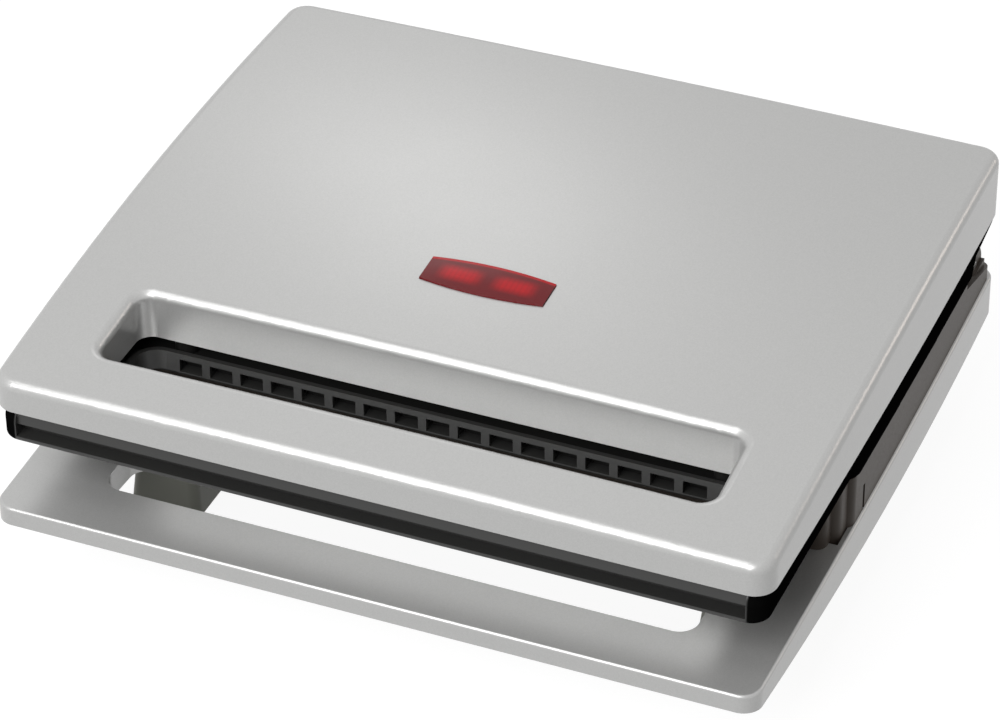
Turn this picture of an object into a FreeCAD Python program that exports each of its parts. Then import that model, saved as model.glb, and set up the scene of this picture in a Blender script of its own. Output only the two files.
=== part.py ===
import FreeCAD, Part
import os
from math import hypot, sin, sqrt, tan

V = FreeCAD.Vector
up = V(0, 0, 1)
right = V(1, 0, 0)

# Sandwich maker with a hinged lid, in millimetres.
# X runs across the front, Y from the front handle to the hinge, Z up.
# The origin lies on the table under the middle of the closed appliance.

# Lid cover: width and depth, the rise of its top above its lower edge, and its curves
lid_width = 240.0
lid_depth = 212.0
lid_front_rise = 10.0
lid_rear_rise = 20.9
lid_crown_along_depth = 4.0
lid_crown_along_width = 0.9
lid_corner_radius = 7.0
lid_edge_radius = 3.0
side_bow = 1.1
shell_wall = 2.2

# Grip slot through the lid cover
slot_side_setback = 24.5
slot_setback = 20.7
slot_width = 29.3
slot_corner_radius = 5.0
slot_rim_radius = 3.0

# Indicator window in the lid cover and the lamp under it
lens_length = 39.4
lens_end_width = 10.6
lens_bow = 1.7
lens_setback = 87.6
lens_proud = 0.5
lens_flange = 2.0
lens_flange_thickness = 1.2
lens_rib_pitch = 3.0
lens_rib_width = 1.0
lens_rib_depth = 0.6
lens_clearance = 0.15
lamp_diameter = 5.5
lamp_length = 24.0
lamp_lead_diameter = 0.8
lamp_lead_length = 6.0
lamp_box_wall = 1.4
lamp_box_gap = 0.9
lamp_cradle_width = 2.0
lamp_clearance = 0.1

# Lid frame: the black moulding under the lid cover, with the front pull groove
frame_front_inset = 1.0
frame_side_inset = 1.4
frame_flush_inset = 0.7
frame_corner_radius = 6.0
frame_wall = 2.2
frame_edge_radius = 1.2
frame_top_radius = 5.0
band_recess = 1.2
groove_band = 5.4
groove_height = 3.8
groove_depth = 5.0
groove_step = 1.2
groove_end_margin = 5.7
groove_lip = 1.8
tongue_height = 3.0
tongue_wall = 1.4
seat_clearance = 0.3

# Grip well: the ribbed black opening of the lid frame under the slot, set off from the slot by a moat
well_inset = 0.6
well_slit = 3.8
well_wall = 1.6
well_corner_radius = 7.0
cell_width = 7.4
cell_pitch = 10.0
cell_height = 4.4
cell_depth = 4.5
cell_bar = 2.0
cell_margin = 10.9

# Line between lid and base, and the notch that clears the hinge ears at the rear
parting_gap = 0.5
notch_setback = 27.9
notch_slope = 4.7
notch_rise = 6.5
notch_rear_rise = 9.6
base_notch_drop = 3.1
base_rear_drop = 10.4

# Base cover: the silver tray with the lower handle
base_side_setback = 0.8
base_overhang = 6.0
base_rear_overhang = 2.4
base_front_height = 35.0
base_slope = 5.6
base_corner_radius = 6.0
base_edge_radius = 0.9
handle_thickness = 6.0
belly_depth = 10.5
rear_thickness = 13.5
belly_low_share = 0.37
base_slot_side_setback = 26.2
base_slot_setback = 19.5
base_slot_width = 23.5
base_slot_corner_radius = 6.0

# Base frame: the black body that stands in the tray
body_rise = 19.5
body_step = 5.3
body_inset = 0.9
body_corner_radius = 4.0
nose_lead = 6.7
nose_inset = 3.9
nose_corner_radius = 3.5
frame_foot_clearance = 0.4
vent_setback = 11.0
vent_width = 1.6
vent_depth = 1.0
vent_height = 9.0

# Bottom cover with four feet and their rubber pads
cover_wall = 2.2
cover_clearance = 0.3
foot_width = 17.6
foot_length = 18.0
foot_flare = 3.0
foot_corner_radius = 3.0
foot_side_setback = 18.0
foot_front_setback = 58.5
foot_rear_setback = 17.9
foot_lift = 1.0
pad_thickness = 2.6
pad_clearance = 0.1

# Hinge: base ears, lid lugs and the pins through them
hinge_setback = 11.5
ear_radius = 7.0
ear_width = 6.0
lug_radius = 6.4
lug_arm_width = 9.0
lug_width = 6.0
lug_side_clearance = 0.4
lug_swing_clearance = 1.2
lug_floor_clearance = 1.1
lug_front_clearance = 0.9
pin_diameter = 5.0
pin_clearance = 0.05

# Baking plates: cast aluminium, two slices a plate, each pocket pair split on the diagonal
plate_side_setback = 14.0
plate_slot_gap = 18.7
plate_corner_radius = 5.0
plate_clearance = 0.3
plate_flange = 2.5
plate_overlap = 3.0
plate_floor = 3.0
pocket_depth = 8.0
pocket_margin = 7.0
pocket_rib = 4.0
pocket_draft = 4.5
pocket_corner_radius = 6.0
seal_groove_width = 1.6
seal_groove_depth = 0.8
boss_diameter = 8.0
boss_height = 7.0
boss_across_share = 0.56
boss_along_share = 0.68

# Heater rods and the sheet pans that throw their heat back at the plates
rod_diameter = 6.0
rod_gap = 0.1
rod_bend_radius = 24.0
rod_end_setback = 28.0
rod_pin_diameter = 3.0
rod_pin_length = 9.0
pan_sheet = 0.6
pan_clearance = 0.4
pan_corner_radius = 6.0

# Temperature control in the base
thermostat_diameter = 15.0
thermostat_height = 5.0
thermostat_neck_diameter = 9.0
thermostat_tab_length = 7.0
thermostat_tab_width = 5.0
thermostat_tab_thickness = 0.8
bracket_length = 34.0
bracket_width = 10.0
bracket_sheet = 0.8
bracket_hole_clearance = 0.15
control_gap = 0.1
fuse_diameter = 4.0
fuse_length = 12.0
fuse_lead_diameter = 1.0
fuse_lead_length = 9.0
fuse_offset = 45.0
clip_width = 5.0
clip_wall = 0.8

# Mains terminals and the cord entry at the rear of the base
terminal_length = 30.0
terminal_depth = 8.0
terminal_height = 7.0
terminal_ways = 3
terminal_bore = 3.4
terminal_screw_diameter = 3.0
terminal_screw_height = 1.2
entry_offset = 62.0
gland_bore = 6.4
gland_diameter = 8.4
gland_rim_diameter = 10.8
gland_rim = 1.0
gland_clearance = 0.1

# Screws: cover screws in corner posts, plate screws in the plate bosses
screw_diameter = 3.5
screw_head_diameter = 6.6
screw_head_height = 2.2
screw_bite = 9.0
handle_screw_bite = 6.0
screw_clearance = 0.1
screw_slot_width = 1.0
screw_slot_depth = 1.0
post_diameter = 7.2
post_inset = 5.7
post_front_setback = 12.0
post_rear_setback = 30.0
lid_handle_post_share = 0.9
base_handle_post_share = 0.5

# Length by which every cut runs past the face it opens
overrun = 5.0

# Widths, levels and stations worked out from the sizes above
base_width = lid_width - 2 * base_side_setback
plate_width = lid_width - 2 * plate_side_setback
slot_length = lid_width - 2 * slot_side_setback
base_slot_length = base_width - 2 * base_slot_side_setback
rod_half_length = plate_width / 2 - rod_end_setback
base_rear_height = base_front_height + base_slope
belly_front_height = base_front_height - handle_thickness
belly_low_height = base_front_height - belly_depth
belly_rear_height = base_rear_height - rear_thickness
base_frame_top = base_front_height + body_rise
lid_frame_bottom = base_frame_top + parting_gap
lid_edge_height = lid_frame_bottom + groove_lip + groove_height + groove_band
base_front = -(base_overhang + lid_depth + base_rear_overhang + gland_rim) / 2
lid_front = base_front + base_overhang
lid_rear = lid_front + lid_depth
lid_middle = (lid_front + lid_rear) / 2
base_rear = lid_rear + base_rear_overhang
hinge_y = lid_rear - hinge_setback
hinge_z = base_rear_height + lug_radius + lug_floor_clearance
slot_front = lid_front + slot_setback
slot_rear = slot_front + slot_width
curb_rear = hinge_y - lug_radius - lug_front_clearance
plate_rear = curb_rear - frame_wall - plate_clearance
plate_front = slot_rear + plate_slot_gap
plate_depth = plate_rear - plate_front
plate_middle = (plate_front + plate_rear) / 2
curb_front = plate_front - plate_clearance - frame_wall
notch_start = lid_rear - notch_setback
body_front = plate_front + body_step
nose_front = plate_front - nose_lead
body_rear = base_rear - shell_wall - frame_foot_clearance
curb_half = plate_width / 2 + plate_clearance + frame_wall
ledge_depth = plate_flange + frame_wall
body_depth = pocket_depth + plate_floor
pan_floor_depth = body_depth + boss_height
lens_y = lid_front + lens_setback
body_half = base_width / 2 - body_inset
ear_outer = body_half - frame_wall
ear_inner = ear_outer - ear_width
lug_outer = ear_inner - lug_side_clearance
lug_inner = lug_outer - lug_width
# Tallest tool body, taller than the whole appliance
tool_height = lid_edge_height + lid_rear_rise + lid_depth


def box(x0, x1, y0, y1, z0, z1):
    return Part.makeBox(x1 - x0, y1 - y0, z1 - z0, V(x0, y0, z0))


def rod(diameter, start, end):
    return Part.makeCylinder(diameter / 2, (end - start).Length, start, end - start)


def rod_across(diameter, half_length, y, z):
    """Round rod along X, its middle on the plane between left and right."""
    return rod(diameter, V(-half_length, y, z), V(half_length, y, z))


def post(x, y, z0, z1):
    """Round screw post."""
    return rod(post_diameter, V(x, y, z0), V(x, y, z1))


def fuse(shapes):
    return shapes[0].multiFuse(shapes[1:]).removeSplitter()


def prism(wire, height):
    return Part.Face(wire).extrude(V(0, 0, height))


def rounded_wire(points, radius, z):
    """Closed polygon at height z, each corner rounded by a tangent arc."""
    edges = []
    count = len(points)
    stations = []
    for i in range(count):
        here = V(points[i][0], points[i][1], z)
        before = (V(points[i - 1][0], points[i - 1][1], z) - here).normalize()
        after = (V(points[(i + 1) % count][0], points[(i + 1) % count][1], z) - here).normalize()
        half_angle = before.getAngle(after) / 2
        reach = radius / tan(half_angle)
        middle = (before + after).normalize() * (radius / sin(half_angle) - radius)
        stations.append((here + before * reach, here + middle, here + after * reach))
    for i in range(count):
        start, middle, end = stations[i]
        edges.append(Part.Arc(start, middle, end).toShape())
        edges.append(Part.LineSegment(end, stations[(i + 1) % count][0]).toShape())
    return Part.Wire(edges)


def rectangle(half_length, y0, y1):
    return [(-half_length, y0), (half_length, y0), (half_length, y1), (-half_length, y1)]


def rounded_block(half_length, y0, y1, z0, z1, radius):
    return prism(rounded_wire(rectangle(half_length, y0, y1), radius, z0), z1 - z0)


def bow_at(y):
    """How far the bowed side stands out at station y."""
    return side_bow * (1 - ((y - lid_middle) / (lid_depth / 2)) ** 2)


def plan_block(half_width, y0, y1, z0, z1, front_radius, rear_radius):
    """Upright block with bowed sides and rounded upright corners."""
    middle = (y0 + y1) / 2
    corners = [V(s * (half_width + bow_at(y)), y, z0) for y, s in ((y0, -1), (y0, 1), (y1, 1), (y1, -1))]
    wire = Part.Wire([
        Part.LineSegment(corners[0], corners[1]).toShape(),
        Part.Arc(corners[1], V(half_width + bow_at(middle), middle, z0), corners[2]).toShape(),
        Part.LineSegment(corners[2], corners[3]).toShape(),
        Part.Arc(corners[3], V(-half_width - bow_at(middle), middle, z0), corners[0]).toShape(),
    ])
    block = prism(wire, z1 - z0)
    for station, radius in ((y0, front_radius), (y1, rear_radius)):
        uprights = [e for e in block.Edges if is_upright(e, station)]
        block = block.makeFillet(radius, uprights)
    return block


def is_upright(edge, station):
    """True for an upright edge that stands at the given station along the depth."""
    bound = edge.BoundBox
    stands = bound.ZLength > bound.YLength + bound.XLength
    return stands and abs(bound.Center.y - station) < bound.ZLength / 100


def profile_block(points, half_width):
    """Side outline in Y and Z, carried across the width."""
    wire = Part.makePolygon([V(-half_width, y, z) for y, z in points + points[:1]])
    return Part.Face(wire).extrude(V(2 * half_width, 0, 0))


def mirrored(shape):
    return shape.mirror(V(0, 0, 0), right)


def both_sides(shape):
    return [shape, mirrored(shape)]


def lid_top_at(y):
    """Height of the lid's side edge line at station y, before its crown across the width."""
    share = (y - lid_front) / lid_depth
    rise = lid_front_rise + (lid_rear_rise - lid_front_rise) * share
    return lid_edge_height + rise + 4 * lid_crown_along_depth * share * (1 - share)


def under_lid_top(drop):
    """Everything below the crowned lid surface, lowered by drop."""
    reach = lid_width / 2 + overrun
    crown = lid_crown_along_width
    rows = []
    for y in (lid_front - overrun, lid_middle, lid_rear + overrun):
        side_drop = crown - crown * (reach / (lid_width / 2)) ** 2
        sides = lid_top_at(y) + side_drop - drop
        rows.append([V(-reach, y, sides), V(0, y, lid_top_at(y) + crown - drop), V(reach, y, sides)])
    surface = Part.BSplineSurface()
    surface.interpolate(rows)
    return surface.toShape().extrude(V(0, 0, -tool_height))


def base_top_at(y):
    share = (y - base_front) / (base_rear - base_front)
    return base_front_height + (base_rear_height - base_front_height) * share


def under_base_top(drop):
    """Everything below the sloping top of the base tray, lowered by drop."""
    y0 = base_front - overrun
    y1 = base_rear + overrun
    top = [(y0, base_top_at(y0) - drop), (y1, base_top_at(y1) - drop)]
    return profile_block(top + [(y1, -tool_height), (y0, -tool_height)], base_width)


belly_low_y = base_front + belly_low_share * (base_rear - base_front)
belly_arc = Part.Circle(V(0, base_front, belly_front_height), V(0, belly_low_y, belly_low_height),
                        V(0, base_rear, belly_rear_height))


def belly_at(y):
    """Height of the underside at station y, on one arc through its three set heights."""
    return belly_arc.Center.z - sqrt(belly_arc.Radius ** 2 - (y - belly_arc.Center.y) ** 2)


def over_belly(lift):
    """Everything above the gently curved underside of the base, raised by lift."""
    stations = (base_front - overrun, belly_low_y, base_rear + overrun)
    start, low, end = [V(-base_width, y, belly_at(y) + lift) for y in stations]
    rise = V(0, 0, tool_height)
    curve = Part.Arc(start, low, end).toShape()
    lines = Part.makePolygon([end, end + rise, start + rise, start]).Edges
    return Part.Face(Part.Wire([curve] + lines)).extrude(V(2 * base_width, 0, 0))


def post_places(half_width):
    """Four screw posts beside the plates, between the plate curb and the side wall."""
    stations = (plate_front + post_front_setback, plate_rear - post_rear_setback)
    return [(s * (half_width - post_inset), y) for y in stations for s in (-1, 1)]


def handle_post_places(across_share, y):
    return [(s * across_share * slot_length / 2, y) for s in (-1, 1)]


def screw(x, y, head_z, length, facing):
    """Slotted pan-head screw; facing 1 drives upward, -1 drives downward."""
    drive = up * facing
    seat = V(x, y, head_z)
    head = Part.makeCylinder(screw_head_diameter / 2, screw_head_height, seat, -drive)
    shank = Part.makeCylinder(screw_diameter / 2, length, seat, drive)
    outer_z = head_z - facing * screw_head_height
    slot_z = sorted((outer_z, outer_z + facing * screw_slot_depth))
    slot = box(x - screw_head_diameter, x + screw_head_diameter,
               y - screw_slot_width / 2, y + screw_slot_width / 2, slot_z[0], slot_z[1])
    return head.fuse(shank).cut(slot)


def pilot(x, y, z0, z1):
    return Part.makeCylinder(screw_diameter / 2 + screw_clearance, z1 - z0, V(x, y, z0), up)


# Lid cover

lid_half = lid_width / 2
lid_post_places = post_places(lid_half - frame_flush_inset - frame_wall)
lid_handle_post_y = (slot_rear + shell_wall + curb_front) / 2
lid_posts = lid_post_places + handle_post_places(lid_handle_post_share, lid_handle_post_y)


def lens_outline(grow):
    """Window outline: straight ends, long sides bowed outward."""
    half = lens_length / 2 + grow
    end = lens_end_width / 2 + grow
    middle = end + lens_bow
    corners = [V(x, y, 0) for x, y in rectangle(half, lens_y - end, lens_y + end)]
    return Part.Wire([
        Part.Arc(corners[0], V(0, lens_y - middle, 0), corners[1]).toShape(),
        Part.LineSegment(corners[1], corners[2]).toShape(),
        Part.Arc(corners[2], V(0, lens_y + middle, 0), corners[3]).toShape(),
        Part.LineSegment(corners[3], corners[0]).toShape(),
    ])


def make_lid_shell():
    outer = plan_block(lid_half, lid_front, lid_rear, lid_edge_height, tool_height, lid_corner_radius,
                       lid_corner_radius)
    outer = outer.common(under_lid_top(0))
    rim = [e for e in outer.Edges if e.BoundBox.ZMin > lid_edge_height + lid_front_rise / 2]
    outer = outer.makeFillet(lid_edge_radius, rim)
    inner = plan_block(lid_half - shell_wall, lid_front + shell_wall, lid_rear - shell_wall,
                       lid_edge_height - overrun, tool_height, lid_corner_radius - shell_wall,
                       lid_corner_radius - shell_wall)
    inner = inner.common(under_lid_top(shell_wall))
    skirt = rounded_block(slot_length / 2 + shell_wall, slot_front - shell_wall, slot_rear + shell_wall,
                          lid_edge_height, tool_height, slot_corner_radius + shell_wall)
    posts = [post(x, y, lid_edge_height, tool_height) for x, y in lid_posts]
    fillings = [part.common(under_lid_top(shell_wall / 2)) for part in [skirt] + posts]
    shell = fuse([outer.cut(inner)] + fillings)
    slot = rounded_block(slot_length / 2, slot_front, slot_rear, lid_edge_height - overrun, tool_height,
                         slot_corner_radius)
    shell = shell.cut(slot)
    rim = [e for e in shell.Edges if slot_rim_edge(e)]
    shell = shell.makeFillet(slot_rim_radius, rim)
    window = prism(lens_outline(lens_clearance), tool_height)
    holes = [pilot(x, y, lid_edge_height - overrun, lid_edge_height + screw_bite) for x, y in lid_posts]
    return shell.cut(window).cut(Part.makeCompound(holes))


def slot_rim_edge(edge):
    """True for the edges where the slot wall meets the outer top of the lid."""
    bound = edge.BoundBox
    reach = slot_length / 2 + slot_rim_radius
    inside_x = bound.XMin > -reach and bound.XMax < reach
    inside_y = bound.YMin > slot_front - slot_rim_radius and bound.YMax < slot_rear + slot_rim_radius
    high = bound.ZMin > lid_top_at(slot_front) - shell_wall / 2
    return inside_x and inside_y and high


# Indicator window, lamp box and neon lamp

lamp_box_top = lid_top_at(lens_y) + lid_crown_along_width - shell_wall - lens_flange_thickness
lamp_box_bottom = lid_frame_bottom + pan_floor_depth + pan_sheet + lamp_box_gap
lamp_z = (lamp_box_bottom + lamp_box_wall + lamp_box_top) / 2


def make_indicator_lens():
    pane = prism(lens_outline(0), tool_height).common(under_lid_top(-lens_proud))
    pane = pane.cut(under_lid_top(shell_wall + lens_flange_thickness))
    flange = prism(lens_outline(lens_flange), tool_height)
    flange = flange.common(under_lid_top(shell_wall + lens_clearance))
    flange = flange.cut(under_lid_top(shell_wall + lens_flange_thickness))
    lens = fuse([pane, flange])
    ribs = []
    count = int(lens_length / lens_rib_pitch)
    for i in range(count):
        x = (i + 0.5 - count / 2) * lens_rib_pitch
        groove = box(x - lens_rib_width / 2, x + lens_rib_width / 2, lens_y - lens_end_width / 2,
                     lens_y + lens_end_width / 2, 0, tool_height)
        ribs.append(groove.common(under_lid_top(shell_wall + lens_flange_thickness - lens_rib_depth)))
    return lens.cut(Part.makeCompound(ribs))


def make_lamp_box():
    half = lens_length / 2 + lens_flange
    side = lens_end_width / 2
    body = box(-half, half, lens_y - side, lens_y + side, lamp_box_bottom, tool_height)
    body = body.common(under_lid_top(shell_wall + lens_flange_thickness + lens_clearance))
    chamber = box(-half + lamp_box_wall, half - lamp_box_wall, lens_y - side + lamp_box_wall,
                  lens_y + side - lamp_box_wall, lamp_box_bottom + lamp_box_wall, tool_height)
    body = body.cut(chamber)
    cradles = []
    cradle_side = side - lamp_box_wall / 2
    for s in (-1, 1):
        x = s * lamp_length / 4
        cradles.append(box(x - lamp_cradle_width / 2, x + lamp_cradle_width / 2, lens_y - cradle_side,
                           lens_y + cradle_side, lamp_box_bottom + lamp_box_wall / 2, lamp_z))
    body = fuse([body] + cradles)
    bed = rod_across(lamp_diameter + 2 * lamp_clearance, half - lamp_box_wall, lens_y, lamp_z)
    leads = rod_across(lamp_lead_diameter + 2 * lamp_clearance, half + overrun, lens_y, lamp_z)
    return body.cut(bed).cut(leads)


def make_neon_lamp():
    tube = rod_across(lamp_diameter, lamp_length / 2, lens_y, lamp_z)
    ends = [e for e in tube.Edges if e.BoundBox.XLength < lamp_clearance]
    tube = tube.makeFillet(lamp_diameter / 3, ends)
    leads = rod_across(lamp_lead_diameter, lens_length / 2 + lens_flange + lamp_lead_length, lens_y, lamp_z)
    return fuse([tube, leads])


# Lid frame

well_front = slot_front + well_inset
well_rear = slot_rear - well_inset
well_half = slot_length / 2 - well_inset
well_top = lid_edge_height - well_slit
deck_top = lid_edge_height - seat_clearance


def notch_points():
    """Lower outline of the lid frame from the notch to its rear."""
    foot = notch_start + notch_slope
    return [(notch_start, lid_frame_bottom), (foot, lid_frame_bottom + notch_rise),
            (lid_rear, lid_frame_bottom + notch_rear_rise)]


def make_lid_frame():
    front_half = lid_half - frame_side_inset
    flush_half = lid_half - frame_flush_inset
    front_y = lid_front + frame_front_inset
    rear_y = lid_rear - frame_flush_inset
    step_y = body_front
    rear_radius = lid_corner_radius - frame_flush_inset
    front_block = rounded_block(front_half, front_y, step_y + 2 * frame_corner_radius, lid_frame_bottom,
                                lid_edge_height, frame_corner_radius)
    top_rim = [e for e in front_block.Edges if e.BoundBox.ZMin > lid_edge_height - frame_edge_radius]
    front_block = front_block.makeFillet(frame_top_radius, top_rim)
    flush_block = plan_block(flush_half, step_y, rear_y, lid_frame_bottom, lid_edge_height,
                             body_corner_radius, rear_radius)
    blocks = []
    for block in (front_block, flush_block):
        lower_rim = [e for e in block.Edges if e.BoundBox.ZMax < lid_frame_bottom + frame_edge_radius]
        blocks.append(block.makeFillet(frame_edge_radius, lower_rim))
    frame = fuse(blocks)
    inner_half = front_half - frame_wall - side_bow
    hollow_front = front_y + groove_depth + groove_step + frame_wall
    hollow = plan_block(inner_half, hollow_front, rear_y - frame_wall, lid_frame_bottom + frame_wall,
                        lid_edge_height + overrun, body_corner_radius, rear_radius - frame_wall)
    frame = frame.cut(hollow)
    rear_outline = notch_points()
    below = rear_outline + [(lid_rear, 0), (notch_start, 0)]
    frame = frame.cut(profile_block(below, lid_width))
    return frame, inner_half, rear_y


def lid_rear_deck(inner_half, rear_y):
    """Skin that closes the lid frame over the hinge, along the notch outline."""
    foot, heel = notch_points()[1:]
    start, foot_z = foot
    end_z = heel[1]
    band = profile_block([(start, foot_z), (lid_rear, end_z), (lid_rear, end_z + frame_wall),
                          (start, foot_z + frame_wall)], inner_half + frame_wall / 2)
    keep = plan_block(inner_half + frame_wall / 2, start, rear_y - frame_wall / 2, 0, lid_edge_height,
                      body_corner_radius, lid_corner_radius - frame_flush_inset)
    plate_half = curb_half - frame_wall
    over_plate = box(-plate_half, plate_half, plate_front, plate_rear + plate_clearance, 0, tool_height)
    return band.common(keep).cut(over_plate)


def plate_curb(z0, z1):
    """Upright wall round a plate."""
    outer = rounded_block(curb_half, curb_front, curb_rear, z0, z1,
                          plate_corner_radius + plate_clearance + frame_wall)
    return outer.cut(plate_opening(z0 - overrun, z1 + overrun))


def plate_opening(z0, z1):
    """Room for a plate with its clearance all round."""
    return rounded_block(curb_half - frame_wall, plate_front - plate_clearance,
                         plate_rear + plate_clearance, z0, z1, plate_corner_radius + plate_clearance)


def plate_ledge(z0, z1):
    """Ring on which a plate's flange seats."""
    outer = rounded_block(curb_half - frame_wall / 2, plate_front - plate_clearance - frame_wall / 2,
                          plate_rear + plate_clearance + frame_wall / 2, z0, z1, plate_corner_radius)
    reach = plate_overlap - plate_clearance
    inner = rounded_block(plate_width / 2 - reach, plate_front + reach, plate_rear - reach,
                          z0 - overrun, z1 + overrun, plate_corner_radius)
    return outer.cut(inner)


def make_grip_well():
    """Thin wall round the grip opening; an open slit parts its top from the slot's skirt."""
    return rounded_block(well_half + well_wall, well_front - well_wall, well_rear + well_wall,
                         lid_frame_bottom, well_top, well_corner_radius + well_wall)


def well_cut():
    """Grip opening and the row of cells through its rear wall."""
    opening = rounded_block(well_half, well_front, well_rear, lid_frame_bottom - overrun,
                            lid_edge_height + overrun, well_corner_radius)
    cells = []
    count = int((2 * (well_half - cell_margin) + cell_pitch - cell_width) / cell_pitch)
    cell_top = well_top - cell_bar
    for i in range(count):
        x = (i - (count - 1) / 2) * cell_pitch
        cells.append(box(x - cell_width / 2, x + cell_width / 2, well_rear - well_wall,
                         well_rear + cell_depth, cell_top - cell_height, cell_top))
    return fuse([opening] + cells)


def pull_groove(front_y):
    """Finger groove along the front of the lid frame: a set-back band over a deeper channel."""
    half = lid_half - frame_side_inset - groove_end_margin
    top = lid_edge_height - groove_band
    bottom = top - groove_height
    start = front_y - overrun
    back = front_y + groove_depth
    band = box(-half, half, start, front_y + band_recess, bottom, lid_edge_height + overrun)
    shallow = box(-half, half, start, back, bottom, top)
    deep = box(-half, half, start, back + groove_step, bottom + groove_height / 2, top)
    return fuse([band, shallow, deep])


def lid_lug():
    """Right-hand hinge lug: arm from the lid frame down to the pin."""
    arm_top = lid_edge_height - frame_wall / 2
    arm_half = lug_arm_width / 2
    arm = box(lug_inner, lug_outer, hinge_y - arm_half, hinge_y + arm_half, hinge_z, arm_top)
    return fuse([arm, hinge_rod(2 * lug_radius, lug_inner, lug_outer)])


def hinge_rod(diameter, x0, x1):
    """Round rod on the hinge axis."""
    return rod(diameter, V(x0, hinge_y, hinge_z), V(x1, hinge_y, hinge_z))


def lug_bore():
    return hinge_rod(pin_diameter + 2 * pin_clearance, lug_inner - overrun, lug_outer + overrun)


def lid_tongue():
    """Upright rim that centres the frame inside the lid cover."""
    inset = shell_wall + seat_clearance
    z0 = lid_edge_height - frame_wall
    z1 = lid_edge_height + tongue_height
    corner = lid_corner_radius - inset
    outer = plan_block(lid_half - inset, lid_front + inset, lid_rear - inset, z0, z1, corner, corner)
    inset += tongue_wall
    corner = lid_corner_radius - inset
    inner = plan_block(lid_half - inset, lid_front + inset, lid_rear - inset, z0 - overrun, z1 + overrun,
                       corner, corner)
    return outer.cut(inner)


def build_lid_frame():
    frame, inner_half, rear_y = make_lid_frame()
    ledge_z = lid_frame_bottom + plate_flange
    posts = [post(x, y, lid_frame_bottom, deck_top) for x, y in lid_posts]
    frame = frame.cut(plate_opening(lid_frame_bottom - overrun, lid_edge_height))
    curb = plate_curb(lid_frame_bottom, lid_edge_height - frame_wall)
    ledge = plate_ledge(ledge_z, ledge_z + frame_wall)
    added = [lid_rear_deck(inner_half, rear_y), curb, ledge, make_grip_well(), lid_tongue()]
    frame = fuse([frame] + added + posts + both_sides(lid_lug()))
    frame = frame.cut(well_cut()).cut(pull_groove(lid_front + frame_front_inset))
    for x, y in lid_posts:
        recess = Part.makeCylinder(screw_head_diameter / 2 + screw_clearance, screw_head_height,
                                   V(x, y, lid_frame_bottom), up)
        frame = frame.cut(recess).cut(pilot(x, y, lid_frame_bottom, tool_height))
    return frame.cut(lug_bore()).cut(mirrored(lug_bore()))


def make_lid_screws():
    seat = lid_frame_bottom + screw_head_height
    length = lid_edge_height - seat + screw_bite - screw_clearance
    return Part.makeCompound([screw(x, y, seat, length, 1) for x, y in lid_posts])


# Plates, heater rods, pans and plate screws, modelled below a food face at height zero

def boss_places():
    across = boss_across_share * plate_width / 2
    along = boss_along_share * plate_depth / 2
    return [(sx * across, plate_middle + sy * along) for sx in (-1, 1) for sy in (-1, 1)]


def inset_triangle(points, distance):
    """Triangle whose sides lie the given distance inside the old ones."""
    a, b, c = [V(x, y, 0) for x, y in points]
    sides = [(b - c).Length, (c - a).Length, (a - b).Length]
    around = sum(sides)
    centre = (a * sides[0] + b * sides[1] + c * sides[2]) * (1 / around)
    inradius = (b - a).cross(c - a).Length / around
    moved = [centre + (p - centre) * (1 - distance / inradius) for p in (a, b, c)]
    return [(p.x, p.y) for p in moved]


def make_pockets():
    """Four triangular pockets with drafted walls, two for each slice."""
    y0 = plate_front + pocket_margin
    y1 = plate_rear - pocket_margin
    x0 = pocket_rib / 2
    x1 = plate_width / 2 - pocket_margin
    pockets = []
    lean = hypot(x1 - x0, y1 - y0)
    shift_x = pocket_rib / 2 * lean / (y1 - y0)
    shift_y = pocket_rib / 2 * lean / (x1 - x0)
    front = [(x0 + shift_x, y0), (x1, y0), (x1, y1 - shift_y)]
    rear = [(x0, y0 + shift_y), (x1 - shift_x, y1), (x0, y1)]
    for corners in (front, rear):
        mouth = rounded_wire(corners, pocket_corner_radius, 0)
        floor = rounded_wire(inset_triangle(corners, pocket_draft), pocket_corner_radius, -pocket_depth)
        pockets += both_sides(Part.makeLoft([mouth, floor], True, True))
    return pockets


def make_plate():
    flange = rounded_block(plate_width / 2, plate_front, plate_rear, -plate_flange, 0, plate_corner_radius)
    half = plate_width / 2 - plate_overlap
    body = rounded_block(half, plate_front + plate_overlap, plate_rear - plate_overlap, -body_depth, 0,
                         plate_corner_radius)
    bosses = [Part.makeCylinder(boss_diameter / 2, pan_floor_depth, V(x, y, -pan_floor_depth), up)
              for x, y in boss_places()]
    plate = fuse([flange, body] + bosses)
    margin = pocket_margin / 2
    groove = seal_groove_width / 2
    ring = rounded_block(plate_width / 2 - margin + groove, plate_front + margin - groove,
                         plate_rear - margin + groove, -seal_groove_depth, overrun, plate_corner_radius)
    ring = ring.cut(rounded_block(plate_width / 2 - margin - groove, plate_front + margin + groove,
                                  plate_rear - margin - groove, -overrun, 2 * overrun, plate_corner_radius))
    plate = plate.cut(Part.makeCompound(make_pockets())).cut(ring)
    pilots = [pilot(x, y, -pan_floor_depth, -body_depth + plate_floor / 2) for x, y in boss_places()]
    return plate.cut(Part.makeCompound(pilots))


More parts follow.
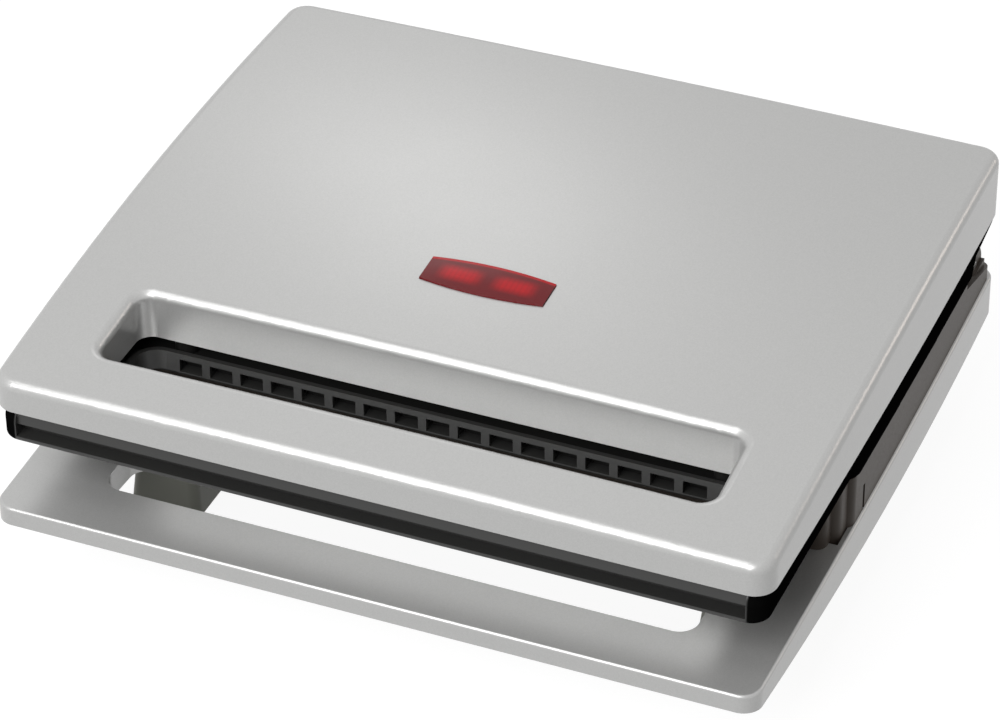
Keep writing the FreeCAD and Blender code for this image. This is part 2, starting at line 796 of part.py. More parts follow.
def make_heater():
    """Rod bent into a U under the pockets, with a plain pin at each end."""
    z = -body_depth - rod_gap - rod_diameter / 2
    left = -rod_half_length
    bend = rod_half_length - rod_bend_radius
    y0 = plate_middle - rod_bend_radius
    y1 = plate_middle + rod_bend_radius
    path = Part.Wire([
        Part.LineSegment(V(left, y0, z), V(bend, y0, z)).toShape(),
        Part.Arc(V(bend, y0, z), V(rod_half_length, plate_middle, z), V(bend, y1, z)).toShape(),
        Part.LineSegment(V(bend, y1, z), V(left, y1, z)).toShape(),
    ])
    section = Part.Wire(Part.makeCircle(rod_diameter / 2, V(left, y0, z), right))
    tube = path.makePipeShell([section], True, False)
    pin_start = left - rod_pin_length
    pin_end = left + rod_pin_length
    pins = [rod(rod_pin_diameter, V(pin_start, y, z), V(pin_end, y, z)) for y in (y0, y1)]
    return fuse([tube] + pins)


def make_pan():
    """Sheet pan whose rim seats under the ledge and whose floor carries the bosses."""
    inset = plate_overlap - pan_clearance - pan_sheet - plate_clearance
    z0 = -pan_floor_depth - pan_sheet
    top = -ledge_depth
    outer = rounded_block(plate_width / 2 - inset, plate_front + inset, plate_rear - inset, z0, top,
                          pan_corner_radius)
    inset += pan_sheet
    inner = rounded_block(plate_width / 2 - inset, plate_front + inset, plate_rear - inset, -pan_floor_depth,
                          overrun, pan_corner_radius - pan_sheet)
    holes = [pilot(x, y, -pan_floor_depth - overrun, 0) for x, y in boss_places()]
    return outer.cut(inner).cut(Part.makeCompound(holes))


def make_plate_screws():
    seat = -pan_floor_depth - pan_sheet
    length = boss_height + pan_sheet
    return Part.makeCompound([screw(x, y, seat, length, 1) for x, y in boss_places()])


def lower(shape):
    return shape.translated(V(0, 0, base_frame_top))


def upper(shape):
    return shape.mirror(V(0, 0, 0), up).translated(V(0, 0, lid_frame_bottom))


# Base cover, bottom cover and feet

base_half = base_width / 2
base_slot_front = base_front + base_slot_setback
base_slot_rear = base_slot_front + base_slot_width
base_post_places = post_places(body_half - frame_wall)
base_handle_posts = handle_post_places(base_handle_post_share, (base_slot_rear + nose_front) / 2)


def base_slot_block(grow, z0, z1):
    return rounded_block(base_slot_length / 2 + grow, base_slot_front - grow, base_slot_rear + grow, z0, z1,
                         base_slot_corner_radius + grow)


def make_base_shell():
    outer = plan_block(base_half, base_front, base_rear, 0, tool_height, base_corner_radius,
                       base_corner_radius)
    outer = outer.common(under_base_top(0)).common(over_belly(0))
    rim = [e for e in outer.Edges if e.BoundBox.ZMin > base_front_height - base_edge_radius]
    outer = outer.makeFillet(base_edge_radius, rim)
    inner = plan_block(base_half - shell_wall, base_front + shell_wall, base_rear - shell_wall, -overrun,
                       tool_height, base_corner_radius - shell_wall, base_corner_radius - shell_wall)
    skirt = base_slot_block(shell_wall, 0, tool_height)
    posts = [post(x, y, 0, tool_height) for x, y in base_handle_posts]
    fillings = [skirt.common(over_belly(0))] + [p.common(over_belly(cover_wall)) for p in posts]
    fillings = [f.common(under_base_top(shell_wall / 2)) for f in fillings]
    shell = fuse([outer.cut(inner.common(under_base_top(shell_wall)))] + fillings)
    behind_handle = box(-base_width, base_width, nose_front + 2 * frame_wall, base_rear, -overrun,
                        tool_height)
    body_hole = inner.common(behind_handle)
    shell = shell.cut(body_hole).cut(base_slot_block(0, -overrun, tool_height))
    holes = [pilot(x, y, 0, base_top_at(y) - shell_wall) for x, y in base_handle_posts]
    return shell.cut(Part.makeCompound(holes)).cut(entry_hole())


def foot_places():
    x = base_half - foot_side_setback - foot_width / 2
    front = base_front + foot_front_setback + foot_length / 2
    rear = base_rear - foot_rear_setback - foot_length / 2
    return [(s * x, y) for y in (front, rear) for s in (-1, 1)]


def foot_outline(x, y, grow, z):
    half_y = foot_length / 2 + grow
    corners = [(x + dx, cy) for dx, cy in rectangle(foot_width / 2 + grow, y - half_y, y + half_y)]
    return rounded_wire(corners, foot_corner_radius, z)


def foot_body(x, y, grow, z0):
    """Tapered foot, widest at the table, from height z0 up through the underside."""
    ground = foot_outline(x, y, grow + foot_flare, z0)
    top = foot_outline(x, y, grow, belly_front_height + cover_wall)
    return Part.makeLoft([ground, top], True, True)


def make_bottom_cover():
    inset = shell_wall + cover_clearance
    plate = plan_block(base_half - inset, base_front + inset, base_rear - inset, 0, tool_height,
                       base_corner_radius - inset, base_corner_radius - inset)
    plate = plate.common(over_belly(0)).cut(over_belly(cover_wall))
    plate = plate.cut(base_slot_block(shell_wall + cover_clearance, -overrun, tool_height))
    feet = []
    pockets = []
    pocket_top = pad_thickness + pad_clearance
    for x, y in foot_places():
        feet.append(foot_body(x, y, 0, foot_lift).cut(over_belly(cover_wall / 2)))
        pockets.append(prism(foot_outline(x, y, pad_clearance, 0), pocket_top))
        pockets.append(foot_body(x, y, -cover_wall, pocket_top + cover_wall))
    cover = fuse([plate] + feet).cut(Part.makeCompound(pockets))
    for x, y in base_post_places + base_handle_posts:
        cover = cover.cut(pilot(x, y, 0, tool_height))
    return cover


def make_foot_pads():
    return Part.makeCompound([prism(foot_outline(x, y, 0, 0), pad_thickness) for x, y in foot_places()])


def make_base_screws():
    places = [(x, y, screw_bite) for x, y in base_post_places]
    places += [(x, y, handle_screw_bite) for x, y in base_handle_posts]
    screws = []
    for x, y, bite in places:
        lowest = min(belly_at(y - screw_head_diameter / 2), belly_at(y + screw_head_diameter / 2))
        screws.append(screw(x, y, lowest, cover_wall + bite, 1))
    return Part.makeCompound(screws)


# Base frame

def entry_rod(diameter, y0, y1):
    """Round rod along the way in for the mains lead."""
    z = (belly_rear_height + cover_wall + base_rear_height) / 2
    return rod(diameter, V(entry_offset, y0, z), V(entry_offset, y1, z))


def entry_hole():
    return entry_rod(gland_diameter + 2 * gland_clearance, hinge_y, base_rear + overrun)


def make_base_frame():
    upper_body = plan_block(body_half, body_front, body_rear, 0, base_frame_top, body_corner_radius,
                            base_corner_radius - body_inset)
    nose_half = base_half - nose_inset
    nose = rounded_block(nose_half, nose_front, body_front + 2 * nose_corner_radius, 0, base_frame_top,
                         nose_corner_radius)
    shoulders = fuse([upper_body, nose]).cut(under_base_top(0))
    inset = shell_wall + frame_foot_clearance
    stem_front = nose_front + 2 * frame_wall + frame_foot_clearance
    stem = plan_block(base_half - inset, stem_front, body_rear - frame_foot_clearance, 0, base_frame_top,
                      body_corner_radius, base_corner_radius - inset)
    stem = stem.common(over_belly(cover_wall + cover_clearance))
    body = fuse([shoulders, stem])
    inset += frame_wall
    hollow = plan_block(base_half - inset, stem_front + frame_wall, body_rear - frame_wall, 0,
                        base_frame_top - frame_wall, body_corner_radius, base_corner_radius - inset)
    body = body.cut(hollow)
    rear_top = base_frame_top - base_rear_drop
    notch = profile_block([(notch_start, tool_height), (notch_start, base_frame_top - base_notch_drop),
                           (body_rear, rear_top), (base_rear + overrun, rear_top),
                           (base_rear + overrun, tool_height)], base_width)
    body = body.cut(notch)
    sink = plan_block(base_half - inset, curb_rear, body_rear - frame_wall, base_rear_height, tool_height,
                      frame_wall, frame_wall)
    return body.cut(sink), inset


def base_deck(half):
    """Low deck under the hinge lugs, round the rear of the plate curb."""
    reach = frame_wall / 2
    corner = base_corner_radius - shell_wall - frame_wall
    deck = rounded_block(half + reach, notch_start - frame_wall, body_rear - reach,
                         base_rear_height - frame_wall, base_rear_height, corner)
    hole_half = curb_half - reach
    hole_rear = plate_rear + plate_clearance + reach
    return deck.cut(box(-hole_half, hole_half, base_front, hole_rear, 0, tool_height))


def base_ear():
    """Right-hand ear: round-topped web inside the side wall, bored for the pin."""
    web = box(ear_inner, ear_outer + frame_wall / 2, hinge_y - ear_radius, hinge_y + ear_radius,
              base_rear_height, hinge_z)
    return fuse([web, hinge_rod(2 * ear_radius, ear_inner, ear_outer)])


def pin_seat(clearance):
    return hinge_rod(pin_diameter + 2 * clearance, lug_inner, ear_outer)


def lug_passage():
    """Room for the lid lug to swing back through the rear wall."""
    x0 = lug_inner - lug_swing_clearance
    x1 = lug_outer + lug_side_clearance
    return box(x0, x1, curb_rear, base_rear, base_rear_height, tool_height)


def side_vent():
    """Short upright groove in the side wall near the front corner."""
    y = body_front + vent_setback
    x = body_half + bow_at(y)
    top = base_top_at(y) + vent_height
    return box(x - vent_depth, x + overrun, y - vent_width / 2, y + vent_width / 2, base_top_at(y), top)


def build_base_frame():
    body, inset = make_base_frame()
    ledge_z = base_frame_top - ledge_depth
    body = body.cut(plate_opening(ledge_z - overrun, base_frame_top + overrun))
    post_top = base_frame_top - frame_wall / 2
    posts = [post(x, y, 0, post_top).common(over_belly(cover_wall)) for x, y in base_post_places]
    curb = plate_curb(base_rear_height - frame_wall, post_top)
    rear_curb = plate_curb(base_rear_height - frame_wall, base_frame_top)
    behind_notch = box(-base_half, base_half, notch_start - frame_wall, base_rear, 0, tool_height)
    rear_curb = rear_curb.common(behind_notch)
    added = [base_deck(base_half - inset), curb, rear_curb, plate_ledge(ledge_z, ledge_z + frame_wall)]
    body = fuse([body] + added + posts + both_sides(base_ear()))
    cuts = both_sides(lug_passage()) + both_sides(side_vent()) + both_sides(pin_seat(pin_clearance))
    for cut in cuts:
        body = body.cut(cut)
    holes = [pilot(x, y, 0, belly_low_height + cover_wall + 2 * screw_bite) for x, y in base_post_places]
    return body.cut(Part.makeCompound(holes)).cut(entry_hole())


def make_hinge_pin():
    return pin_seat(0)


# Temperature control and mains entry

def make_thermostat():
    """Round snap-disc switch against the underside of the lower plate, with two tabs."""
    top = base_frame_top - body_depth - control_gap
    neck_top = top - thermostat_height
    body = rod(thermostat_diameter, V(0, plate_middle, neck_top), V(0, plate_middle, top))
    neck_end = V(0, plate_middle, neck_top - bracket_sheet)
    neck = rod(thermostat_neck_diameter, neck_end, V(0, plate_middle, neck_top))
    tabs = []
    for s in (-1, 1):
        inner = s * thermostat_diameter / 4
        outer = s * (thermostat_diameter / 2 + thermostat_tab_length)
        middle_z = top - thermostat_height / 2
        tabs.append(box(min(inner, outer), max(inner, outer), plate_middle - thermostat_tab_width / 2,
                        plate_middle + thermostat_tab_width / 2, middle_z - thermostat_tab_thickness / 2,
                        middle_z + thermostat_tab_thickness / 2))
    return fuse([body, neck] + tabs)


def make_thermostat_bracket():
    """Spring strip that presses the switch up, standing on the pan floor."""
    floor = base_frame_top - pan_floor_depth
    top = base_frame_top - body_depth - control_gap - thermostat_height
    half = bracket_length / 2
    y0 = plate_middle - bracket_width / 2
    y1 = plate_middle + bracket_width / 2
    strip = box(-half, half, y0, y1, top - bracket_sheet, top)
    legs = [box(x, x + bracket_sheet, y0, y1, floor, top) for x in (-half, half - bracket_sheet)]
    hole = Part.makeCylinder(thermostat_neck_diameter / 2 + bracket_hole_clearance, tool_height,
                             V(0, plate_middle, 0), up)
    return fuse([strip] + legs).cut(hole)


def make_thermal_fuse():
    """Axial cut-out laid across the underside of the lower plate."""
    z = base_frame_top - body_depth - control_gap - fuse_diameter / 2
    half = fuse_length / 2
    body = rod_across(fuse_diameter, half, plate_middle, z)
    leads = rod_across(fuse_lead_diameter, half + fuse_lead_length, plate_middle, z)
    return fuse([body, leads]).translated(V(-fuse_offset, 0, 0))


def make_fuse_clip():
    """Bent strip that holds the cut-out against the plate, standing on the pan floor."""
    floor = base_frame_top - pan_floor_depth
    z = base_frame_top - body_depth - control_gap - fuse_diameter / 2
    inner = fuse_diameter / 2 + control_gap
    outer = inner + clip_wall
    x0 = -fuse_offset - clip_width / 2
    x1 = -fuse_offset + clip_width / 2
    saddle = box(x0, x1, plate_middle - outer, plate_middle + outer, floor, z)
    groove = rod(2 * inner, V(x0 - overrun, plate_middle, z), V(x1 + overrun, plate_middle, z))
    return saddle.cut(groove)


def terminal_top():
    return belly_rear_height + cover_wall + terminal_height


def make_terminal_block():
    """Three-way block on the bottom cover behind the plates, wires entering along Y."""
    y1 = body_rear - frame_wall - cover_clearance
    y0 = y1 - terminal_depth
    block = box(-terminal_length / 2, terminal_length / 2, y0, y1, 0, terminal_top())
    block = block.common(over_belly(cover_wall))
    pitch = terminal_length / terminal_ways
    middle = terminal_top() - terminal_height / 2
    for i in range(terminal_ways):
        x = (i - (terminal_ways - 1) / 2) * pitch
        bore = rod(terminal_bore, V(x, y0 - overrun, middle), V(x, y1 + overrun, middle))
        block = block.cut(bore)
    return block


def make_terminal_screws():
    y = body_rear - frame_wall - cover_clearance - terminal_depth / 2
    z = terminal_top()
    pitch = terminal_length / terminal_ways
    heads = []
    for i in range(terminal_ways):
        x = (i - (terminal_ways - 1) / 2) * pitch
        heads.append(Part.makeCylinder(terminal_screw_diameter / 2, terminal_screw_height, V(x, y, z), up))
    return Part.makeCompound(heads)


def make_cord_gland():
    """Bush through the rear wall where the mains lead enters."""
    inside = body_rear - frame_wall
    outside = base_rear + gland_rim
    body = entry_rod(gland_diameter, inside - gland_rim, outside)
    outer_rim = entry_rod(gland_rim_diameter, base_rear, outside)
    return fuse([body, outer_rim]).cut(entry_rod(gland_bore, inside - overrun, outside + overrun))


nodes = {
    "lid_shell": make_lid_shell,
    "lid_frame": build_lid_frame,
    "lid_screws": make_lid_screws,
    "indicator_lens": make_indicator_lens,
    "lamp_box": make_lamp_box,
    "neon_lamp": make_neon_lamp,
    "upper_plate": lambda: upper(make_plate()),
    "upper_heater": lambda: upper(make_heater()),
    "upper_pan": lambda: upper(make_pan()),
    "upper_plate_screws": lambda: upper(make_plate_screws()),
    "base_shell": make_base_shell,
    "base_frame": build_base_frame,
    "bottom_cover": make_bottom_cover,
    "base_screws": make_base_screws,
    "foot_pads": make_foot_pads,
    "hinge_pin_right": make_hinge_pin,
    "hinge_pin_left": lambda: mirrored(make_hinge_pin()),
    "lower_plate": lambda: lower(make_plate()),
    "lower_heater": lambda: lower(make_heater()),
    "lower_pan": lambda: lower(make_pan()),
    "lower_plate_screws": lambda: lower(make_plate_screws()),
    "thermostat": make_thermostat,
    "thermostat_bracket": make_thermostat_bracket,
    "thermal_fuse": make_thermal_fuse,
    "fuse_clip": make_fuse_clip,
    "terminal_block": make_terminal_block,
    "terminal_screws": make_terminal_screws,
    "cord_gland": make_cord_gland,
}

os.makedirs("parts", exist_ok=True)
for name, make in nodes.items():
    shape = make()
    print(name, len(shape.Solids), shape.isValid(), round(shape.Volume / 1000, 2))
    shape.exportStep(os.path.join("parts", name + ".step"))
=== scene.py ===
from math import tau

import bmesh
import bpy
from mathutils import Matrix, Vector


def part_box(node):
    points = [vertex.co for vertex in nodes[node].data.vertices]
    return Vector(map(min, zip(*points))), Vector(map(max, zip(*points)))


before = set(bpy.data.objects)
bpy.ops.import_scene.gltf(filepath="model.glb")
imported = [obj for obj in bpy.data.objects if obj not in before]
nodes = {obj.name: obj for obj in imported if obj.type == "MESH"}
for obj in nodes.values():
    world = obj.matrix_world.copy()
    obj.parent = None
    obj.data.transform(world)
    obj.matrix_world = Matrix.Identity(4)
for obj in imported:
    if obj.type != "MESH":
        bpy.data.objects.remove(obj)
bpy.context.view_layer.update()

MM = 0.001

# Base tray: a thin moulding in ABS with the lower handle and its slot, sprayed with silver metallic
# paint. The paint's aluminium flakes lie flat under a satin lacquer, so it has a broad soft gloss,
# and each flake tips a little differently, which gives a fine grain.


def linear(colour):
    """Linear colour of an sRGB hex value."""
    shares = [int(colour[i:i + 2], 16) / 255 for i in (1, 3, 5)]
    return [s / 12.92 if s <= 0.04045 else ((s + 0.055) / 1.055) ** 2.4 for s in shares] + [1.0]


def add(tree, kind, sockets=None, **settings):
    """Adds a node; each entry of sockets is a value for that socket or the output that feeds it."""
    made = tree.nodes.new(kind)
    for name, value in settings.items():
        setattr(made, name, value)
    for name, value in (sockets or {}).items():
        if isinstance(value, bpy.types.NodeSocket):
            tree.links.new(value, made.inputs[name])
        else:
            made.inputs[name].default_value = value
    return made


def finish(name, **values):
    """New material with its shader's plain values; gives the material, its tree, shader and coordinates."""
    material = bpy.data.materials.new(name)
    material.use_nodes = True
    tree = material.node_tree
    shader = tree.nodes["Principled BSDF"]
    for socket, value in values.items():
        shader.inputs[socket.replace("_", " ")].default_value = value
    place = add(tree, "ShaderNodeTexCoord").outputs["Object"]
    return material, tree, shader, place


def feed(tree, shader, **outputs):
    """Joins node outputs to the shader's sockets."""
    for socket, output in outputs.items():
        tree.links.new(output, shader.inputs[socket.replace("_", " ")])


def noise(tree, place, size, detail):
    """Soft noise with features of about the given size."""
    sockets = {"Vector": place, "Scale": 1 / size, "Detail": detail}
    return add(tree, "ShaderNodeTexNoise", sockets).outputs["Fac"]


def spread(tree, value, low, high, start=0.0, end=1.0):
    """Turns a value that runs from start to end into one that runs from low to high."""
    sockets = {"Value": value, "From Min": start, "From Max": end, "To Min": low, "To Max": high}
    return add(tree, "ShaderNodeMapRange", sockets).outputs["Result"]


def tint(tree, value, first, last, start=0.0, end=1.0):
    """Colour between two sRGB values, as the value runs from start to end."""
    ramp = add(tree, "ShaderNodeValToRGB", {"Fac": value})
    for stop, position, colour in zip(ramp.color_ramp.elements, (start, end), (first, last)):
        stop.position = position
        stop.color = linear(colour)
    return ramp.outputs["Color"]


def bump(tree, height, strength, depth):
    """Fine relief of the surface."""
    sockets = {"Height": height, "Strength": strength, "Distance": depth}
    return add(tree, "ShaderNodeBump", sockets).outputs["Normal"]


def dress(material, *names):
    """Gives CAD nodes their material."""
    for name in names:
        slots = nodes[name].data.materials
        slots.clear()
        slots.append(material)


# flakes are about 0.05 mm, drawn at 0.3 mm so that they show; the spray's drift runs over 70 mm
FLAKE = 0.3 * MM
DRIFT = 70 * MM

silver_paint, tree, shader, place = finish("silver_metallic_paint", Metallic=0.45, Coat_Weight=0.1,
                                           Coat_Roughness=0.25)
flakes = add(tree, "ShaderNodeTexVoronoi", {"Vector": place, "Scale": 1 / FLAKE}).outputs["Color"]
drift = noise(tree, place, DRIFT, 3.0)
grain = noise(tree, place, 2 * FLAKE, 2.0)
feed(tree, shader, Base_Color=tint(tree, flakes, "#AFAFAE", "#B7B7B6"),
     Roughness=spread(tree, drift, 0.28, 0.33), Normal=bump(tree, grain, 0.04, 0.03 * MM))
dress(silver_paint, "base_shell")

# Base frame: the dark body that stands in the tray, moulded in a glass-filled heat-proof plastic.
# Its spark-eroded mould leaves an even satin grain.
MOULD_GRAIN = 0.7 * MM

body_plastic, tree, shader, place = finish("brown_grey_PBT", Base_Color=linear("#463F39"), IOR=1.55,
                                           Specular_IOR_Level=0.12)
grain = noise(tree, place, MOULD_GRAIN, 4.0)
feed(tree, shader, Roughness=spread(tree, grain, 0.34, 0.5), Normal=bump(tree, grain, 0.12, 0.05 * MM))
dress(body_plastic, "base_frame")

# Bottom cover with its four hollow feet: one moulding in grey polypropylene, screwed up under the
# tray. The mould is textured, so it is duller than the body.
cover_plastic, tree, shader, place = finish("grey_polypropylene", Base_Color=linear("#77786F"), IOR=1.49)
grain = noise(tree, place, MOULD_GRAIN, 4.0)
feed(tree, shader, Roughness=spread(tree, grain, 0.42, 0.6), Normal=bump(tree, grain, 0.2, 0.08 * MM))
dress(cover_plastic, "bottom_cover")

# Foot pads: four die-cut rubber pads pressed into the feet, matt and slightly dusty.
BLOOM = 3 * MM

rubber, tree, shader, place = finish("black_rubber", IOR=1.52)
bloom = noise(tree, place, BLOOM, 5.0)
feed(tree, shader, Base_Color=tint(tree, bloom, "#191919", "#2A2A29"),
     Roughness=spread(tree, bloom, 0.7, 0.85))
dress(rubber, "foot_pads")

# Screws: pressed steel with a bright zinc plate, driven from below into the posts.
SPANGLE = 0.8 * MM

zinc, tree, shader, place = finish("zinc_plated_steel", Metallic=1.0)
spangle = noise(tree, place, SPANGLE, 3.0)
feed(tree, shader, Base_Color=tint(tree, spangle, "#A2A29E", "#C4C4C1"),
     Roughness=spread(tree, spangle, 0.25, 0.4))
dress(zinc, "base_screws", "lid_screws", "upper_plate_screws", "lower_plate_screws")


def drawn(tree, place, length, width):
    """Noise drawn out along X into marks of the given length and width."""
    scale = (1 / length, 1 / width, 1 / width)
    stretch = add(tree, "ShaderNodeMapping", {"Vector": place, "Scale": scale})
    return noise(tree, stretch.outputs["Vector"], 1.0, 3.0)


# Hinge pins: two short drawn steel rods on the hinge line. The marks of the drawing run along them.
steel, tree, shader, place = finish("drawn_steel", Metallic=1.0, Base_Color=linear("#B4B3B0"))
marks = drawn(tree, place, 8 * MM, 0.3 * MM)
feed(tree, shader, Roughness=spread(tree, marks, 0.2, 0.4))
dress(steel, "hinge_pin_right", "hinge_pin_left")

# Baking plates: die-cast aluminium with a black non-stick coat. The coat is sprayed and baked, so it
# has a soft orange peel and a few mineral specks.
SPECK_PITCH = 1.1 * MM
PEEL = 1.6 * MM

coat, tree, shader, place = finish("non_stick_coat", IOR=1.4)
specks = add(tree, "ShaderNodeTexVoronoi", {"Vector": place, "Scale": 1 / SPECK_PITCH}).outputs["Distance"]
peel = noise(tree, place, PEEL, 2.0)
feed(tree, shader, Base_Color=tint(tree, specks, "#3A3A3B", "#1B1B1C", 0.08, 0.16),
     Roughness=spread(tree, peel, 0.34, 0.48), Normal=bump(tree, peel, 0.25, 0.06 * MM))
dress(coat, "upper_plate", "lower_plate")

# Heater rods: steel sheaths bent to a U, blued and browned by heat in patches.
HEAT_PATCH = 12 * MM

sheath, tree, shader, place = finish("heat_tinted_steel", Metallic=1.0)
patches = noise(tree, place, HEAT_PATCH, 4.0)
feed(tree, shader, Base_Color=tint(tree, patches, "#5A4A40", "#7E7F86"),
     Roughness=spread(tree, patches, 0.35, 0.55))
dress(sheath, "upper_heater", "lower_heater")

# Sheet pans, the control's bracket, the fuse and its clip: pressed from aluminised steel sheet, which
# has a pale rolled surface.
sheet_steel, tree, shader, place = finish("aluminised_steel", Metallic=1.0)
rolled = drawn(tree, place, 40 * MM, 0.5 * MM)
feed(tree, shader, Base_Color=tint(tree, rolled, "#B0B0AE", "#D0D0CE"),
     Roughness=spread(tree, rolled, 0.3, 0.5))
dress(sheet_steel, "upper_pan", "lower_pan", "thermostat_bracket", "fuse_clip", "thermal_fuse")

# Temperature control: a snap-disc switch in brown phenolic, pressed against the lower plate.
MARBLE = 2 * MM

phenolic, tree, shader, place = finish("brown_phenolic", IOR=1.6)
marble = noise(tree, place, MARBLE, 4.0)
feed(tree, shader, Base_Color=tint(tree, marble, "#3A2A20", "#4E3A2C"),
     Roughness=spread(tree, marble, 0.3, 0.45))
dress(phenolic, "thermostat")

# Mains terminals and lamp chamber: white polyamide mouldings. The terminal block sits on the bottom
# cover and has turned brass screws.
CLOUD = 4 * MM
TURNING = 0.4 * MM

polyamide, tree, shader, place = finish("white_polyamide", IOR=1.53)
cloud = noise(tree, place, CLOUD, 4.0)
feed(tree, shader, Base_Color=tint(tree, cloud, "#D8D5CB", "#E8E6DE"),
     Roughness=spread(tree, cloud, 0.35, 0.5))
dress(polyamide, "terminal_block", "lamp_box")

brass, tree, shader, place = finish("turned_brass", Metallic=1.0, Base_Color=linear("#C9A25A"))
turned = noise(tree, place, TURNING, 2.0)
feed(tree, shader, Roughness=spread(tree, turned, 0.2, 0.35))
dress(brass, "terminal_screws")

# Lid frame and cord gland: moulded in black ABS. The handle, with the pull groove and the grip well, has a
# soft gloss. Painted shade: the ends are painted darker, and the ends, sides and underside have their
# reflections taken off so that they render as dark as the shade there.


def maths(tree, operation, first, second=None):
    """Output of one sum; a term that isn't given is left out."""
    terms = {0: first} if second is None else {0: first, 1: second}
    return add(tree, "ShaderNodeMath", terms, operation=operation).outputs[0]


# the screw heads lie flush with the frame's underside; the glosses are specular levels
FRAME_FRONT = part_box("lid_frame")[0][1]
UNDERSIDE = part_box("lid_screws")[0][2]
HANDLE_HALF = 112.9 * MM
HANDLE_REACH = 52 * MM
SHADE_BLEND = 0.6 * MM
HANDLE_GLOSS = 0.45
PAINTED_SHADE_GLOSS = 0.01

black_plastic, tree, shader, place = finish("black_ABS", IOR=1.54)
along = add(tree, "ShaderNodeSeparateXYZ", {"Vector": place}).outputs
# painted shade: beyond the handle the frame's ends are painted darker and lose their reflections
unshaded_handle = spread(tree, maths(tree, "ABSOLUTE", along["X"]), 1.0, 0.0, HANDLE_HALF, HANDLE_HALF + SHADE_BLEND)
handle_rear = FRAME_FRONT + HANDLE_REACH
# painted shade: behind the handle and on the underside the reflections are taken off, so the sides render
# as dark as shade
gloss_with_painted_shade = spread(tree, along["Y"], HANDLE_GLOSS, PAINTED_SHADE_GLOSS, handle_rear, handle_rear + SHADE_BLEND)
above = spread(tree, along["Z"], 0.0, 1.0, UNDERSIDE + SHADE_BLEND / 3, UNDERSIDE + SHADE_BLEND)
grain = noise(tree, place, MOULD_GRAIN, 3.0)
feed(tree, shader, Base_Color=tint(tree, unshaded_handle, "#0B0B0B", "#2B2B2A"),
     Specular_IOR_Level=maths(tree, "MULTIPLY", maths(tree, "MULTIPLY", unshaded_handle, gloss_with_painted_shade), above),
     Roughness=spread(tree, grain, 0.3, 0.42), Normal=bump(tree, grain, 0.06, 0.05 * MM))
dress(black_plastic, "lid_frame", "cord_gland")

# Lid cover: the same silver-sprayed ABS as the tray, with the grip slot and the window for the lamp.
dress(silver_paint, "lid_shell")

# Indicator window: red acrylic snapped into the lid cover from below, over a glass glow lamp in its
# white box. Two ribbed panels are moulded into its back. The colour holds painted light: the panels are
# painted brighter, as light coming through them from the white box, the plain border over the box's rim
# is painted darker as shade, and the rear edge carries a painted highlight.
LENS_LOW, LENS_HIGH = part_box("indicator_lens")
LENS_MIDDLE = (LENS_LOW[1] + LENS_HIGH[1]) / 2
PANEL_LENGTH = 15.5 * MM
PANEL_OFFSET = 8.6 * MM
PANEL_WIDTH = 8.4 * MM
PANEL_END_BLEND = 4 * MM
PANEL_SIDE_BLEND = 3 * MM
RIB_PITCH = 1.6 * MM
RESIN_CLOUD = 4 * MM
PANE_HALF = 19.7 * MM
PANE_BOW = 1.7 * MM
PANE_SIDE = 7.0 * MM
EDGE_START = 1.3 * MM
EDGE_FULL = 0.8 * MM

red_acrylic, tree, shader, place = finish("red_acrylic", IOR=1.49, Transmission_Weight=0.2, Roughness=0.08,
                                          Specular_IOR_Level=0.12)
along = add(tree, "ShaderNodeSeparateXYZ", {"Vector": place}).outputs
from_centre = maths(tree, "SUBTRACT", maths(tree, "ABSOLUTE", along["X"]), PANEL_OFFSET)
from_middle = maths(tree, "SUBTRACT", along["Y"], LENS_MIDDLE)
panel = maths(tree, "MULTIPLY",
              spread(tree, maths(tree, "ABSOLUTE", from_centre), 1.0, 0.0,
                     PANEL_LENGTH / 2 - PANEL_END_BLEND, PANEL_LENGTH / 2),
              spread(tree, maths(tree, "ABSOLUTE", from_middle), 1.0, 0.0,
                     PANEL_WIDTH / 2 - PANEL_SIDE_BLEND, PANEL_WIDTH / 2))
ribs = maths(tree, "SINE", maths(tree, "MULTIPLY", along["X"], tau / RIB_PITCH))
cloud = noise(tree, place, RESIN_CLOUD, 2.0)
# painted light: the ribbed panels painted brighter than the border, with the rib troughs a little darker
painted_panel_light = maths(tree, "MULTIPLY", panel, spread(tree, ribs, 0.82, 1.0, -1.0, 0.2))
painted_panel_light = maths(tree, "MULTIPLY", painted_panel_light, spread(tree, cloud, 0.94, 1.0, 0.3, 0.65))
# painted highlight: a lighter red strip along the window's bowed rear edge
share = maths(tree, "DIVIDE", along["X"], PANE_HALF)
bow = maths(tree, "MULTIPLY", maths(tree, "MULTIPLY", share, share), PANE_BOW)
painted_rear_highlight = spread(tree, maths(tree, "ADD", from_middle, bow), 0.0, 0.85, PANE_SIDE - EDGE_START,
              PANE_SIDE - EDGE_FULL)
feed(tree, shader, Base_Color=tint(tree, maths(tree, "MAXIMUM", painted_panel_light, painted_rear_highlight), "#701319", "#BE101A"))
dress(red_acrylic, "indicator_lens")

glass, tree, shader, place = finish("lamp_glass", Base_Color=linear("#F4D8C8"), IOR=1.5,
                                    Transmission_Weight=1.0, Roughness=0.02)
dress(glass, "neon_lamp")

# Studio: a pale floor under an overcast of soft light, four soft boxes, and the photograph's camera.
# Seen straight, in a reflection or through glass, world and floor are white; as light they are weaker.


def seen_level(tree, unseen, seen):
    """Strength for rays that are seen, and for those that only carry light."""
    rays = add(tree, "ShaderNodeLightPath").outputs
    straight = maths(tree, "MAXIMUM", rays["Is Camera Ray"], rays["Is Glossy Ray"])
    return spread(tree, maths(tree, "MAXIMUM", straight, rays["Is Transmission Ray"]), unseen, seen)


SKY_LIGHT = 0.36
SKY_SEEN = 1.0
FLOOR_GLOW = 0.92
FLOOR_HALF = 6.0

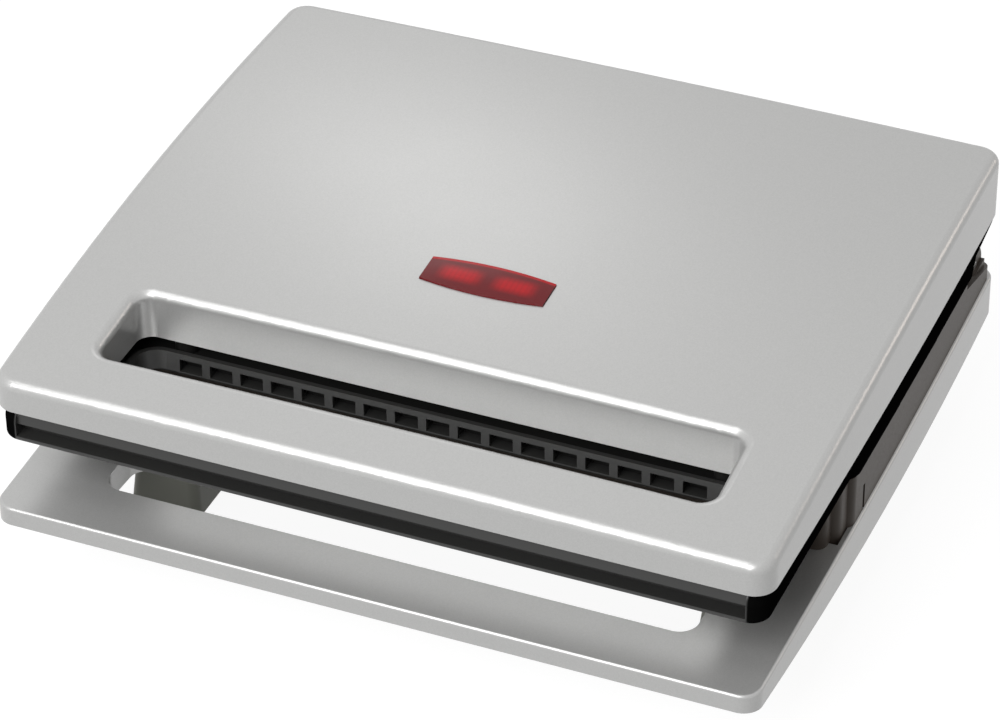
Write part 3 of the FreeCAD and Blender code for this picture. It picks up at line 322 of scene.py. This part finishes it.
world = bpy.data.worlds.new("studio")
bpy.context.scene.world = world
world.use_nodes = True
sky = world.node_tree.nodes["Background"]
sky.inputs["Color"].default_value = linear("#FFFFFF")
feed(world.node_tree, sky, Strength=seen_level(world.node_tree, SKY_LIGHT, SKY_SEEN))

mesh = bpy.data.meshes.new("floor")
form = bmesh.new()
bmesh.ops.create_grid(form, x_segments=1, y_segments=1, size=FLOOR_HALF)
form.to_mesh(mesh)
form.free()
floor = bpy.data.objects.new("floor", mesh)
bpy.context.scene.collection.objects.link(floor)
pale, tree, shader, place = finish("pale_floor", Base_Color=linear("#707070"), Roughness=0.9,
                                   Specular_IOR_Level=0.0, Emission_Color=linear("#FFFFFF"))
feed(tree, shader, Emission_Strength=seen_level(tree, 0.0, FLOOR_GLOW))
mesh.materials.append(pale)


def soft_box(name, place, target, size, power, colour):
    """Rectangular soft light turned to its target; metres and watts."""
    lamp = bpy.data.lights.new(name, "AREA")
    lamp.shape = "RECTANGLE"
    lamp.size, lamp.size_y = size
    lamp.energy = power
    lamp.color = linear(colour)[:3]
    holder = bpy.data.objects.new(name, lamp)
    holder.location = place
    holder.rotation_euler = (Vector(target) - Vector(place)).to_track_quat("-Z", "Y").to_euler()
    bpy.context.scene.collection.objects.link(holder)


soft_box("front", (-0.25, -1.15, 1.0), (0, 0, 0.06), (1.0, 0.9), 19.5, "#FFFFFF")
soft_box("overhead", (-0.4, -0.4, 1.3), (0, -0.05, 0.08), (0.6, 0.6), 3.0, "#FFFFFF")
soft_box("rear_left", (-0.52, 1.03, 0.94), (-0.04, 0.03, 0.08), (0.22, 0.22), 0.35, "#FFFFFF")
soft_box("rear_right", (1.1, 1.3, 0.6), (0.1, 0, 0.06), (0.4, 0.5), 1.5, "#FFF0E4")

# sensor and focal length in millimetres, place in metres, as fitted to the photograph
camera = bpy.data.cameras.new("camera")
camera.sensor_width = 36.0
camera.lens = 153.54
forward = Vector((-0.31957333, 0.74969059, -0.57951436))
upward = Vector((-0.21705512, 0.53740606, 0.81491215))
sideways = forward.cross(upward)
eye = bpy.data.objects.new("camera", camera)
turn = Matrix((sideways, upward, -forward)).transposed().to_4x4()
eye.matrix_world = Matrix.Translation((0.4097316, -0.9696250, 0.7943223)) @ turn
bpy.context.scene.collection.objects.link(eye)
bpy.context.scene.camera = eye
bpy.context.scene.view_settings.view_transform = "Standard"
